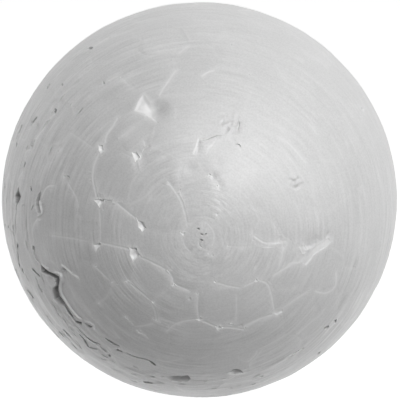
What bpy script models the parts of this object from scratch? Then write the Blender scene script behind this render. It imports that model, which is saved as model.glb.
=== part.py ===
# A ball turned from expanded polystyrene bead foam, in metres with +Z up.
# The origin is the ball's centre. The ball was turned about the Y axis, and the end that
# shows the tool's centre mark faces -Y. Longitude is measured from -Y towards +X, and
# latitude from the equator towards +Z.

import math
import random

import bmesh
import bpy
from mathutils import Matrix, Vector

BALL_DIAMETER = 0.040
SPHERE_SEGMENTS = 72
SPHERE_RINGS = 36

# Open hollows are left where three or four beads meet: three points with sides that curve
# inwards, because each side is the flank of a bead. Reach is from the middle to a point.
SMALL_REACH = 0.00045
SMALL_DEPTH = 0.0004
MIDDLE_REACH = 0.0008
MIDDLE_DEPTH = 0.0008
LARGE_REACH = 0.0014
LARGE_DEPTH = 0.0013
SIDE_PINCH = 0.5
FLOOR_SHARE = 0.4

# A crack runs between beads that did not fuse.
CRACK_WIDTH = 0.0006
CRACK_DEPTH = 0.0009
CRACK_ROOT_SHARE = 0.35
CRACK_LAP = 0.0004

# The centre mark that the lathe leaves at each end of the turning axis.
CENTRE_MARK_RADIUS = 0.0005
CENTRE_MARK_DEPTH = 0.0003
CENTRE_MARK_SIDES = 12

# Cutters start a little outside the surface that they open.
CUTTER_RISE = 0.0003

# Hollows spread over the sides that the hollows below leave free.
SPREAD_SEED = 11
SPREAD_TRIES = 900
SPREAD_GAP = 0.0052
SPREAD_FRONT_REACH = 0.0178
REST_CLEARANCE = 0.0030
SPREAD_SIZES = ("small", "small", "middle", "middle", "large")

HOLLOW_SIZES = {
    "small": (SMALL_REACH, SMALL_DEPTH),
    "middle": (MIDDLE_REACH, MIDDLE_DEPTH),
    "large": (LARGE_REACH, LARGE_DEPTH),
}

# Each hollow on the front: longitude, latitude, turn in degrees, and size.
FRONT_HOLLOWS = (
    (-17.5, 35.0, 0, "large"),
    (-12.0, 34.5, 60, "middle"),
    (-29.5, 22.5, 40, "middle"),
    (-18.5, 21.0, 20, "small"),
    (-28.5, 8.0, 15, "middle"),
    (9.5, 30.0, 50, "large"),
    (27.5, 13.0, 75, "middle"),
    (-16.0, 3.0, 90, "middle"),
    (-4.5, 1.0, 30, "small"),
    (-29.0, -4.0, 0, "small"),
    (-18.0, -5.5, 85, "middle"),
    (-8.5, -9.5, 10, "small"),
    (30.5, -3.0, 30, "large"),
    (35.0, -2.0, 90, "middle"),
    (0.0, -24.0, 70, "small"),
    (5.5, -27.0, 35, "middle"),
    (9.5, -26.0, 80, "small"),
    (23.5, -23.0, 25, "middle"),
    (15.5, -12.5, 5, "small"),
    (4.0, -12.5, 65, "small"),
    (-18.5, -29.5, 45, "middle"),
    (-42.0, -12.5, 10, "middle"),
    (-37.0, -29.0, 70, "middle"),
    (-44.0, -34.5, 35, "middle"),
    (-55.0, -15.5, 60, "middle"),
    (-54.0, -20.5, 20, "middle"),
    (-62.0, 6.0, 90, "large"),
    (-50.5, 5.0, 30, "middle"),
    (-60.0, 20.5, 15, "middle"),
    (-71.5, 22.5, 55, "middle"),
    (-64.0, 27.0, 80, "middle"),
    (-36.5, -43.0, 25, "middle"),
    (-29.5, -38.0, 50, "small"),
    (-24.5, -53.5, 5, "large"),
    (-8.0, -49.5, 35, "large"),
    (14.5, -46.5, 80, "large"),
    (38.0, -41.0, 65, "middle"),
    (46.5, -31.5, 20, "small"),
    (33.0, -17.0, 40, "small"),
    (49.5, 23.0, 75, "small"),
    (39.0, 12.0, 55, "small"),
    (6.5, 56.5, 30, "middle"),
    (1.0, 45.0, 85, "small"),
    (20.0, 44.0, 10, "middle"),
    (-39.0, 41.5, 60, "middle"),
    (-63.0, 53.0, 40, "middle"),
)

# Each crack as a run of longitude and latitude points.
CRACKS = (
    ((-50.0, -13.5), (-46.5, -14.5), (-44.0, -17.0), (-45.5, -20.0), (-46.0, -24.0), (-44.0, -28.0), (-40.5, -29.5)),
    ((-40.5, -33.0), (-37.0, -36.0), (-33.0, -37.0)),
    ((-0.5, 26.0), (4.0, 27.0), (9.0, 27.5)),
)


def direction_at(longitude, latitude):
    """Unit vector from the centre of the ball, from angles in degrees."""
    lon = math.radians(longitude)
    lat = math.radians(latitude)
    return Vector((math.cos(lat) * math.sin(lon), -math.cos(lat) * math.cos(lon), math.sin(lat)))


def clear_scene():
    for item in list(bpy.data.objects):
        bpy.data.objects.remove(item, do_unlink=True)


def new_collection(name):
    collection = bpy.data.collections.new(name)
    bpy.context.scene.collection.children.link(collection)
    return collection


def foam_material():
    material = bpy.data.materials.new("white_bead_foam")
    material.use_nodes = True
    shader = material.node_tree.nodes["Principled BSDF"]
    shader.inputs["Base Color"].default_value = (0.80, 0.80, 0.79, 1.0)
    shader.inputs["Roughness"].default_value = 0.7
    shader.inputs["Metallic"].default_value = 0.0
    return material


def object_from(name, bm, collection, matrix=Matrix.Identity(4)):
    mesh = bpy.data.meshes.new(name)
    bm.to_mesh(mesh)
    bm.free()
    item = bpy.data.objects.new(name, mesh)
    item.matrix_world = matrix
    collection.objects.link(item)
    return item


def make_ball(collection):
    """The turned sphere, with its poles on the turning axis."""
    bm = bmesh.new()
    turning_axis = Matrix.Rotation(math.radians(90), 4, "X")
    bmesh.ops.create_uvsphere(
        bm,
        u_segments=SPHERE_SEGMENTS,
        v_segments=SPHERE_RINGS,
        radius=BALL_DIAMETER / 2,
        matrix=turning_axis,
    )
    bmesh.ops.recalc_face_normals(bm, faces=bm.faces)
    return object_from("ball", bm, collection)


def cutter_from(name, bm, collection, matrix):
    cutter = object_from(name, bm, collection, matrix)
    cutter.hide_render = True
    cutter.display_type = "WIRE"
    return cutter


def on_surface(direction, turn):
    """Matrix of a place on the surface: its Z points outwards, and turn is in degrees."""
    place = Matrix.Translation(direction * BALL_DIAMETER / 2)
    facing = direction.to_track_quat("Z", "Y").to_matrix().to_4x4()
    return place @ facing @ Matrix.Rotation(math.radians(turn), 4, "Z")


def widening(mouth, floor, depth):
    """Radius of a tapered cutter at its top, which lies CUTTER_RISE outside the surface."""
    return mouth + (mouth - floor) * CUTTER_RISE / depth


def cut_hollow(name, direction, turn, size, collection):
    """A three-pointed hollow between beads."""
    reach, depth = HOLLOW_SIZES[size]
    floor = reach * FLOOR_SHARE
    bm = bmesh.new()
    bmesh.ops.create_cone(
        bm,
        cap_ends=True,
        segments=6,
        radius1=floor,
        radius2=widening(reach, floor, depth),
        depth=depth + CUTTER_RISE,
        matrix=Matrix.Translation((0, 0, (CUTTER_RISE - depth) / 2)),
    )
    for vert in bm.verts:
        sixth = round(math.degrees(math.atan2(vert.co.y, vert.co.x)) / 60)
        if sixth % 2:
            vert.co.x *= SIDE_PINCH
            vert.co.y *= SIDE_PINCH
    cutter_from(name, bm, collection, on_surface(direction, turn))


def cut_crack(name, path, collection):
    """A wedge along each stretch of the path, lapped over the next at the corners."""
    points = [direction_at(*angles) * BALL_DIAMETER / 2 for angles in path]
    for index, (start, end) in enumerate(zip(points, points[1:])):
        along = end - start
        middle = (start + end) / 2
        outward = middle.normalized()
        sideways = outward.cross(along).normalized()
        facing = Matrix((along.normalized(), sideways, outward)).transposed().to_4x4()
        bm = bmesh.new()
        bmesh.ops.create_cube(bm, size=1.0)
        for vert in bm.verts:
            root = vert.co.z < 0
            share = CRACK_ROOT_SHARE if root else widening(1.0, CRACK_ROOT_SHARE, CRACK_DEPTH)
            vert.co.x *= along.length + CRACK_LAP
            vert.co.y *= CRACK_WIDTH * share
            vert.co.z = -CRACK_DEPTH if root else CUTTER_RISE
        place = Matrix.Translation(outward * BALL_DIAMETER / 2)
        cutter_from(f"{name}_{index}", bm, collection, place @ facing)


def cut_centre_mark(name, direction, collection):
    bm = bmesh.new()
    bmesh.ops.create_cone(
        bm,
        cap_ends=True,
        segments=CENTRE_MARK_SIDES,
        radius1=CENTRE_MARK_RADIUS * FLOOR_SHARE,
        radius2=widening(CENTRE_MARK_RADIUS, CENTRE_MARK_RADIUS * FLOOR_SHARE, CENTRE_MARK_DEPTH),
        depth=CENTRE_MARK_DEPTH + CUTTER_RISE,
        matrix=Matrix.Translation((0, 0, (CUTTER_RISE - CENTRE_MARK_DEPTH) / 2)),
    )
    cutter_from(name, bm, collection, on_surface(direction, 0))


def spread_hollows(taken):
    """Directions of further hollows, away from the front, the resting point and each other."""
    chance = random.Random(SPREAD_SEED)
    radius = BALL_DIAMETER / 2
    found = []
    for _ in range(SPREAD_TRIES):
        up = chance.uniform(-1, 1)
        around = chance.uniform(-math.pi, math.pi)
        level = math.sqrt(1 - up * up)
        direction = Vector((level * math.cos(around), level * math.sin(around), up))
        turn = chance.uniform(0, 120)
        size = chance.choice(SPREAD_SIZES)
        off_axis = math.hypot(direction.x, direction.z) * radius
        if direction.y < 0 and off_axis < SPREAD_FRONT_REACH:
            continue
        if (direction - Vector((0, 0, -1))).length * radius < REST_CLEARANCE:
            continue
        if (direction - Vector((0, 1, 0))).length * radius < SPREAD_GAP / 2:
            continue
        if all((direction - other).length * radius > SPREAD_GAP for other in taken + [f[0] for f in found]):
            found.append((direction, turn, size))
    return found


def main():
    clear_scene()
    parts = new_collection("polystyrene_ball")
    cutters = new_collection("hollow_cutters")

    ball = make_ball(parts)
    ball.data.materials.append(foam_material())

    front = [(direction_at(lon, lat), turn, size) for lon, lat, turn, size in FRONT_HOLLOWS]
    crack_points = [direction_at(*angles) for path in CRACKS for angles in path]
    spread = spread_hollows([hollow[0] for hollow in front] + crack_points)
    for index, (direction, turn, size) in enumerate(front + spread):
        cut_hollow(f"hollow_{index}", direction, turn, size, cutters)
    for index, path in enumerate(CRACKS):
        cut_crack(f"crack_{index}", path, cutters)
    cut_centre_mark("centre_mark_front", Vector((0, -1, 0)), cutters)
    cut_centre_mark("centre_mark_back", Vector((0, 1, 0)), cutters)

    opened = ball.modifiers.new("open_hollows", "BOOLEAN")
    opened.operation = "DIFFERENCE"
    opened.solver = "EXACT"
    opened.operand_type = "COLLECTION"
    opened.collection = cutters

    ball.data.shade_smooth()
    ball.data.set_sharp_from_angle(angle=math.radians(30))


main()
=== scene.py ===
import math

import bmesh
import bpy
import numpy as np
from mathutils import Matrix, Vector, noise
from mathutils.bvhtree import BVHTree
from mathutils.kdtree import KDTree
from numpy.linalg import norm


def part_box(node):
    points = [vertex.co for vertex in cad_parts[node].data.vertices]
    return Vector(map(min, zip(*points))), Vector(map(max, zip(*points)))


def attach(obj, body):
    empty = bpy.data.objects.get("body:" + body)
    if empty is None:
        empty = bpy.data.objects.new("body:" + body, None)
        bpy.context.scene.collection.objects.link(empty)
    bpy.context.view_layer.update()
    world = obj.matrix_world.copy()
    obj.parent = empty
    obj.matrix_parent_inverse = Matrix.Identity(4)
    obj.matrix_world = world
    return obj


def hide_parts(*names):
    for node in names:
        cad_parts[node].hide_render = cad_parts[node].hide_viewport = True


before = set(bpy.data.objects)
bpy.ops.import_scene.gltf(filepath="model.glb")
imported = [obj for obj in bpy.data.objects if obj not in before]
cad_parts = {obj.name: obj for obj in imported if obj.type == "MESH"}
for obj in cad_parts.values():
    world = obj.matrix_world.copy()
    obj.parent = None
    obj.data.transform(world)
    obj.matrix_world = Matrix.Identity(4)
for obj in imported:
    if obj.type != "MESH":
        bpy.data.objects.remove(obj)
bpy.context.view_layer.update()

mm = 0.001
ballLow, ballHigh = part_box("ball")
ballRadius = (ballHigh.x - ballLow.x) / 2
ballCentre = (ballLow + ballHigh) / 2

# Places on the front are millimetres across and up from the ball's centre.
# The bead faces have a third number, the radius of the face. More are packed round them.
beadPack = {
    "frontFaces": [
        (-3.6, 2.5, 2.25), (-3.6, -1.1, 2), (0.3, 0, 1.6), (0.2, 3.5, 1.9), (-0.5, -3.2, 1.9),
        (3.3, -3, 1.9), (6.3, -2.6, 1.4), (1.9, -6.8, 1.9), (5.2, -6.6, 2), (8.5, -4.3, 1.5),
        (7.9, -6.2, 1.1), (9.9, -8.2, 1.9), (11.9, -3.8, 2), (14, -5.6, 1.3), (-0.6, -10.4, 2.3),
        (3, -10.9, 1.8), (6, -10, 1.9), (-2.2, -6.8, 2), (-4.6, -4.1, 2), (-7.9, -2.8, 1.8),
        (-6.6, -6.9, 2.1), (-7.5, 0.7, 1.9), (-7.9, 5.3, 2.1), (-3.5, 6.7, 2), (-5.3, 4.4, 1.1),
        (0, 10.9, 2.1), (-2.4, 8.6, 2.1), (1.9, 7.3, 1.8), (5.6, 7.8, 1.9), (9.7, 8.8, 1.9),
        (7.9, 6.5, 1.5), (5.6, 4.3, 1.9), (2.9, 4.3, 1.4), (-13.2, 1.4, 2.3), (-12.9, -2.4, 1.8),
        (-7.9, 12, 2), (-4.7, 14.4, 1.9), (-1.4, 13.1, 1.9), (2.5, 12.6, 1.9), (3.6, 0.9, 1.6),
        (9, 1.6, 2.1), (-11.9, 6.6, 2), (-9.9, 9.9, 2.1), (-5.9, 9.4, 1.8),
    ],
    "largestFace": 2.5 * mm,
    "smallestFace": 0.7 * mm,
    "smallestGap": 0.75 * mm,  # packing stops when no wider gap is left between the faces
    "sizes": (0.75, 1.0),  # from and to, as shares of the largest face
    "hollowShare": 0.3,  # how much of a side hollow's reach the faces keep clear of
    "trials": 60000,
    "seed": 7,
}


def unit(points):
    return points / norm(points, axis=-1, keepdims=True)


def onBall(points):
    return unit(points) * ballRadius


def onFront(places):
    # from millimetres across and up to points on the front half of the ball
    places = np.atleast_2d(np.array(places, float)) * mm
    x, z = places[:, 0], places[:, 1]
    y = -np.sqrt(np.clip(ballRadius ** 2 - x * x - z * z, 0, None))
    return onBall(np.stack((x, y, z), axis=1))


def distances(points, others):
    # all pairs, for points that lie on the ball
    square = 2 * ballRadius ** 2 - 2 * points @ others.T
    return np.sqrt(np.clip(square, 0, None))


# Open hollows on the front. Each has its corners, how steep the sides away from the light and on the
# light's side are, its depth in millimetres and how white it is, partly whiter bead skin and partly
# painted light on the walls that the light falls on. Where two lie over each other, the later one
# gives the colour.
frontHollows = [
    (((-5.25, 12.65), (-5.75, 11.9), (-6.1, 11.1), (-5.1, 10.95), (-4.75, 10.65), (-4.2, 10.55),
      (-4.2, 11), (-4.6, 11.8), (-4.85, 12.2)), 0.25, 0.25, 0.07, 1),
    (((-9.5, 8.05), (-9.4, 7.5), (-9.2, 7.1), (-8.85, 7.5), (-9, 8)), 0.6, 6, 0.2, 1),
    (((-6.4, 7.65), (-6.1, 7.1), (-5.95, 6.55), (-5.6, 6.95), (-5.45, 7.2), (-5.8, 7.6)), 0.6, 6, 0.2,
      1),
    (((-9.95, 3.05), (-9.25, 2.25), (-8.95, 2.85), (-8.6, 3.15), (-9.4, 3.2)), 0.6, 6, 0.22, 1),
    (((-5.85, 1.65), (-5.65, 0.8), (-5.25, 0.3), (-4.9, 0.75), (-5.15, 1.3)), 0.6, 6, 0.22, 1),
    (((-1.95, 0.55), (-1.45, 0), (-1.2, 0.5)), 0.7, 1.4, 0.25, 0.8),
    (((-9.95, -1.15), (-9.6, -1.8), (-9.25, -1.3), (-9.05, -0.75)), 0.6, 6, 0.22, 1),
    (((-6.55, -1.1), (-6.45, -1.9), (-6.15, -2.6), (-5.8, -2.2), (-5.3, -1.95), (-5.85, -1.1)), 0.6, 3,
      0.3, 1),
    (((9.2, -1.3), (9.4, -1.7), (9.6, -2.15), (10, -2), (10.05, -1.6), (9.85, -1.25), (9.5, -1.15)),
      1, 1, 0.03, 0.7),
    (((10, -3.2), (10.4, -2.75), (10.7, -2.35), (11.2, -2), (12, -1.7), (12.45, -1.2), (12.1, -0.85),
      (11.7, -1.1), (11.1, -1.4), (10.6, -1.7), (10.3, -2.2), (9.8, -3.1)), 1, 1, 0.03, 1),
    (((-15.25, -4.1), (-15.2, -4.95), (-14.75, -5.1), (-14.4, -5.2), (-13.95, -5.45), (-13.87, -6.1),
      (-14.15, -6.45), (-14.1, -7.2), (-14, -7.75), (-13.5, -8), (-13.1, -8.1), (-12.85, -7.8),
      (-13.05, -7.45), (-13.4, -7), (-13.5, -6.4), (-13.45, -5.9), (-13.33, -5.4), (-13.35, -4.95),
      (-13.8, -4.75), (-14.4, -4.65), (-15, -4.3)), 2.5, 6, 1.1, 0),
    (((-14.7, -5.2), (-14.55, -5.75), (-14.15, -6.3), (-13.9, -6.35), (-13.85, -5.9), (-13.9, -5.5),
      (-14.2, -5.3), (-14.5, -5.15)), 0.3, 0.8, 0.1, 1),
    (((-12.15, -9.3), (-11.9, -9.9), (-11.3, -9.9), (-11.25, -9.55)), 4, 8, 1.4, 0),
    (((-13.15, -4.2), (-12.95, -4.5), (-12.6, -4.5), (-12.45, -4.3), (-12.7, -4), (-13, -3.85)), 0.9,
      1.8, 0.35, 0),
    (((-17.55, 2.95), (-17.7, 2.4), (-17.95, 1.9), (-17.95, 1.2), (-17.8, 0.3), (-17.75, 1),
      (-17.35, 1.75), (-17.25, 2.05), (-17.4, 2.4)), 4, 8, 1.4, 0),
    (((-15.05, 3.2), (-15.4, 2.7), (-15.7, 2), (-15.75, 1.5), (-15.5, 0.95), (-15.1, 0.95), (-15.15, 1.3),
      (-15.3, 1.9), (-15.15, 2.5)), 1, 5, 0.7, 0),
    (((-6.05, -9.45), (-5.75, -9.9), (-5, -10.3), (-5.2, -9.95), (-5.6, -9.5)), 1, 1, 0.03, 1),
    (((-7.15, -8.1), (-6.95, -8.4), (-6.3, -8.95), (-6.4, -8.75), (-6.85, -8.15)), 1, 1, 0.04, 1),
    (((-0.45, -8.15), (0, -8.35), (0.45, -8.2), (0.1, -7.8)), 0.6, 1.2, 0.1, 1),
    (((1.4, -8.95), (1.7, -9.4), (2.2, -9.15), (1.9, -8.8)), 0.6, 1.2, 0.1, 0.9),
    (((6.7, -7.85), (7.3, -8.1), (7.9, -7.8), (7.85, -7.4), (7.2, -7.5)), 0.4, 0.8, 0.05, 0.9),
    (((-5.55, -16.25), (-5.5, -16.5), (-5.1, -16.6), (-4.6, -16.55), (-4.55, -16.3), (-5, -16.2)), 4,
      8, 1.2, 0),
    (((-3.2, -15.1), (-2.7, -15.75), (-1.9, -15.85), (-1.1, -15.7), (-0.8, -15.3), (-1.1, -14.8),
      (-1.6, -14.9), (-2.2, -15)), 1.2, 3, 0.5, 0.1),
    (((2.5, -14.7), (3.3, -14.95), (4.3, -14.75), (4, -14.3), (3.6, -14.05), (3.2, -14.1), (3, -14.4),
      (2.7, -14.5)), 1, 2.5, 0.4, 0.1),
]
# Soft dimples with no lip: the middle, the reach across and up, and the depth in millimetres.
dimples = [
    (-4.15, 11.4, 1.2, 1, 0.42), (10.7, -0.95, 1.3, 0.6, 0.14), (12.1, -0.5, 0.35, 0.3, 0.12),
    (-8.65, 7.95, 0.2, 0.25, 0.08), (-5.35, 7.4, 0.2, 0.3, 0.06), (3.6, 10.3, 0.3, 0.5, 0.1),
    (3.2, 9.4, 0.4, 0.35, 0.1), (2.45, 10.9, 0.45, 0.25, 0.08), (2.45, 9.5, 0.25, 0.3, 0.07),
    (8.6, 4.8, 0.3, 0.4, 0.07), (9.3, 4.35, 0.45, 0.2, 0.09), (9.1, 5.05, 0.25, 0.2, 0.07),
    (4.6, 8.2, 0.2, 0.3, 0.04), (8.4, 11.7, 0.4, 0.5, 0.06), (1.2, 17.8, 0.6, 0.4, 0.1),
    (5.4, -2.9, 0.4, 0.3, 0.06), (5.3, 2.8, 0.4, 0.4, 0.05), (14.1, 9.3, 0.5, 0.5, 0.08),
    (13.5, 8.3, 0.4, 0.4, 0.06), (14.8, -4.4, 0.35, 0.9, 0.12), (13.6, -7.7, 0.4, 1.2, 0.1),
    (-9.6, 13.2, 0.8, 0.6, 0.1), (4.6, 17.8, 0.9, 0.5, 0.1), (-7.7, -15.3, 0.5, 0.3, 0.12),
    (-6.4, -14.4, 0.9, 0.25, 0.1), (-0.1, 8.1, 0.3, 0.7, 0.08), (-0.85, 6.3, 0.4, 0.4, 0.08),
    (1.3, 5.6, 0.3, 0.5, 0.08), (1.75, 6.8, 0.3, 0.4, 0.05), (1.85, 4.8, 0.25, 0.4, 0.08),
    (7.7, -1.1, 0.3, 0.4, 0.06), (-1.1, -1.3, 0.7, 0.5, 0.07), (3, 8.8, 0.6, 0.5, 0.06),
    (-16.2, 6.9, 0.35, 0.6, 0.2), (-15.5, 8.6, 0.35, 0.7, 0.12), (-14, -0.2, 0.9, 0.8, 0.05),
    (-12.2, 1, 0.9, 0.9, 0.04), (-13.15, 7.3, 0.25, 0.4, 0.08), (-9, -16.6, 0.6, 0.3, 0.2),
    (-12.95, -4.45, 0.4, 0.3, 0.12),
]
# Rough, torn patches: the middle, the reach across and up, and the height in millimetres.
tornPatches = [
    (2.9, 10.1, 1.1, 1.3, 0.17), (9, 4.7, 1, 0.9, 0.2), (-1.1, -1.3, 0.8, 0.6, 0.05),
    (9.9, -1.5, 1.3, 0.8, 0.07), (-13.9, -7.6, 0.7, 2.2, 0.12), (-12.4, -10.6, 1.2, 1.2, 0.1),
    (0.3, 0.2, 0.7, 0.7, 0.05), (-9.4, 13, 1, 0.9, 0.05), (-2, -15.1, 1.6, 0.6, 0.08),
    (3.5, -14.5, 1.4, 0.6, 0.08), (-5.5, -10, 0.9, 0.7, 0.05),
]
# Small hollows, with their reach and depth in millimetres.
smallHollows = [
    (-4.5, 7.8, 0.2, 0.12), (-3.5, 7.25, 0.22, 0.12), (-4.5, 3.5, 0.18, 0.1), (1, 5.7, 0.3, 0.15),
    (1.6, 4.7, 0.22, 0.1), (1.65, 2.2, 0.25, 0.12), (2.6, -0.85, 0.2, 0.1), (4.7, 0.25, 0.2, 0.1),
    (0.85, -1.5, 0.2, 0.1), (1.25, -1.75, 0.16, 0.1), (-2.85, -3.25, 0.28, 0.14), (-2.35, -4.6, 0.28, 0.14),
    (-0.2, -5.5, 0.22, 0.1), (-0.9, -6, 0.18, 0.1), (-8.15, -4.7, 0.26, 0.14), (-6.85, -4.5, 0.26, 0.14),
    (-4.3, -6.5, 0.22, 0.12), (-4, -8.4, 0.22, 0.12), (-9.7, -3.3, 0.22, 0.12), (-9.5, -7.1, 0.22, 0.12),
    (3, -8.65, 0.3, 0.14), (4.25, -9.15, 0.28, 0.12), (5.3, -4.3, 0.3, 0.14), (1.4, -4.25, 0.28, 0.12),
    (8.9, -5.4, 0.2, 0.1), (10.4, -5.8, 0.24, 0.12), (-2.65, 15.5, 0.24, 0.12), (1.1, 16.7, 0.22, 0.12),
    (1.7, 16.9, 0.22, 0.12), (3.1, 16.8, 0.3, 0.14), (2.7, 14, 0.22, 0.1), (4.7, 14.2, 0.22, 0.1),
    (4.8, 13.4, 0.22, 0.1), (-6.5, 14.3, 0.24, 0.12), (14, 7.7, 0.2, 0.1), (12.3, 4.2, 0.2, 0.1),
    (15.3, 3.2, 0.22, 0.1), (-13.4, 6.9, 0.24, 0.12), (-12.75, 4.75, 0.36, 0.14), (4, -1.1, 0.18, 0.2),
]
# Cracks and torn pits: the path, half the width and the depth in millimetres.
cracks = [
    (((-15.95, -2.6), (-15.95, -2.8)), 0.2, 0.7),
    (((-15.95, -2.8), (-15.9, -3.2), (-15.7, -3.7), (-15.15, -4.15)), 0.09, 0.5),
    (((-12.95, -7.95), (-12.6, -8.6), (-12.3, -9.05), (-12, -9.45)), 0.22, 1.2),
    (((-14.4, -8), (-13.85, -8.75), (-13.65, -9.35)), 0.1, 0.5),
    (((-16.15, -4.95), (-15.45, -5.4)), 0.14, 0.7),
    (((-17.85, 0.3), (-18, -0.8), (-18, -1.8)), 0.07, 0.3),
    (((-17.75, -2.9), (-17.8, -3.3)), 0.18, 0.7), (((-17.8, -3.3), (-17.75, -4.4)), 0.08, 0.4),
    (((-17.7, -5.1), (-17.7, -5.3)), 0.16, 0.6), (((-17.35, -5.5), (-17.3, -5.7)), 0.18, 0.7),
    (((-15.6, -6.55), (-15.3, -7.1)), 0.15, 0.7), (((-16.95, -7.9), (-16.45, -8.5)), 0.16, 0.7),
    (((-18.3, -6.2), (-17.9, -7.2)), 0.16, 0.5), (((-18.25, -1.2), (-18.25, -1.4)), 0.15, 0.5),
    (((-13.7, -11.9), (-13.5, -12.1)), 0.2, 0.6),
    (((-10.95, -9.65), (-10.65, -9.85), (-10.3, -9.85)), 0.18, 0.8),
    (((-11.55, -11.15), (-11.15, -11.7), (-10.9, -12.3), (-10.8, -12.55)), 0.17, 0.8),
    (((-10.8, -12.55), (-10.4, -12.6), (-9.95, -12.6)), 0.14, 0.6),
    (((-11.1, -11.05), (-10.8, -11.35), (-10.45, -11.6), (-10, -11.8), (-9.6, -11.85)), 0.17, 0.8),
    (((-8.95, -11), (-8.55, -11.3), (-8.1, -11.55), (-7.7, -11.65)), 0.17, 0.8),
    (((-7.8, -12.2), (-7.5, -12.3)), 0.15, 0.6),
    (((-6.95, -12.4), (-6.55, -12.65), (-6.05, -12.85), (-5.4, -12.95), (-4.8, -13.1), (-4.6, -13.25)),
      0.11, 0.5),
    (((-4.65, -13.25), (-4.3, -13.65)), 0.15, 0.7), (((-8.7, -13.15), (-8.7, -13.25)), 0.14, 0.6),
    (((-14.3, -12.4), (-14.2, -12.5)), 0.2, 0.5), (((-19.4, 3.2), (-19.25, 2)), 0.14, 0.4),
    (((-16.2, 3.2), (-16.1, 2.95)), 0.13, 0.6), (((-16.85, 5.2), (-16.95, 4.9)), 0.16, 0.7),
    (((-17.45, 8.35), (-17.75, 7.6)), 0.18, 0.9), (((-17.95, 6.65), (-17.9, 6.35)), 0.14, 0.6),
    (((-15.85, 9.4), (-16.3, 8.9)), 0.16, 0.6), (((-13.9, 10.5), (-13.8, 10.4)), 0.2, 0.5),
    (((-12.45, 4.9), (-12.2, 4.8)), 0.08, 0.15), (((-14.7, 12.45), (-14.7, 12.35)), 0.13, 0.35),
    (((-14.95, 12.1), (-14.85, 12.05)), 0.12, 0.35), (((-13.3, 12.75), (-13.25, 12.65)), 0.11, 0.3),
    (((-9.15, 13.4), (-9.05, 13.3)), 0.12, 0.2), (((8.5, -13.3), (9.2, -12.9), (10, -12.5)), 0.18, 0.6),
    (((6, -15.6), (6.1, -15.6)), 0.2, 0.6), (((12.2, -10.5), (12.4, -10.5)), 0.24, 0.9),
    (((13.2, -9.9), (13.2, -10.1)), 0.18, 0.6), (((11.8, -13.9), (11.8, -14.1)), 0.2, 0.6),
    (((-10.8, 16), (-10.5, 16)), 0.2, 0.5), (((-9.2, 3.2), (-8.5, 3.05), (-8, 3.15)), 0.06, 0.07),
    (((-0.15, 0.85), (-0.05, 0.8)), 0.1, 0.3), (((0.15, 0.32), (0.25, 0.27)), 0.1, 0.3),
    (((0.55, 0.35), (0.62, 0.35)), 0.08, 0.25), (((0.12, -0.2), (0.25, -0.25)), 0.1, 0.3),
    (((2.1, 9.15), (1.5, 9.1), (0.9, 8.85), (0.1, 8.6)), 0.06, 0.06),
    (((3.6, 10.5), (3.75, 10), (3.55, 9.6)), 0.07, 0.08),
    (((3.35, 8.35), (3.7, 8.35), (3.8, 8.1)), 0.06, 0.12),
    (((0.25, -0.2), (0, -0.4), (0, -0.8), (0.35, -1), (0.6, -0.8)), 0.06, 0.06),
]
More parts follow.
